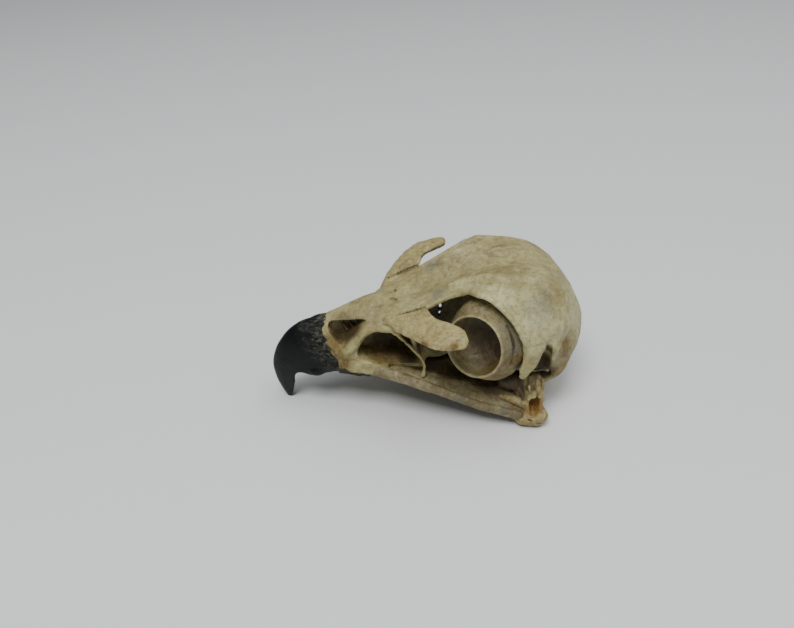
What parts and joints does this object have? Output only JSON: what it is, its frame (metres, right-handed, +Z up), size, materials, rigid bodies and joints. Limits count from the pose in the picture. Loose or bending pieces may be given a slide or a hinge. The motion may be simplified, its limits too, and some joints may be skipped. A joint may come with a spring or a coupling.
{
  "type": "hawk skull",
  "caption": "Hawk skull without its lower jaw, lying on the hook of the bill and the jaw joints, with black horn bill, free brow bones and bony eye rings.",
  "frame": {"origin": "middle of the skull's box, on the floor that it lies on", "axes": "+X towards the back of the head, the bill points to -X; +Y to the skull's own right side; +Z up"},
  "size_m": [0.0804, 0.0486, 0.0393],
  "materials": {
    "skull_bone": "dry cream bone, matt with a faint sheen, tan stains and fine pores",
    "bill_bone": "dry bone with ochre stains beside the horn, matt and porous",
    "horn": "black horn with a soft satin gloss, fibrous and grey at its border",
    "brow_bone": "dry bone, pitted and grained, brown in its pits",
    "eye_ring_bone": "thin grey-cream bone plates round dried brown skin",
    "palate_bone": "thin dry bone, yellow-grey with brown flecks",
    "joint_bone": "broken spongy bone, orange-brown inside"
  },
  "bodies": {
    "root": {"braincase": "skull_bone", "upper_bill": "bill_bone", "horn_sheath": "horn", "brow_left": "brow_bone", "brow_right": "brow_bone", "eye_ring_left": "eye_ring_bone", "eye_ring_right": "eye_ring_bone", "cheek_bar_left": "palate_bone", "cheek_bar_right": "palate_bone", "palatine_left": "palate_bone", "palatine_right": "palate_bone", "pterygoid_left": "palate_bone", "pterygoid_right": "palate_bone", "quadrate_left": "joint_bone", "quadrate_right": "joint_bone"}
  },
  "joints": []
}
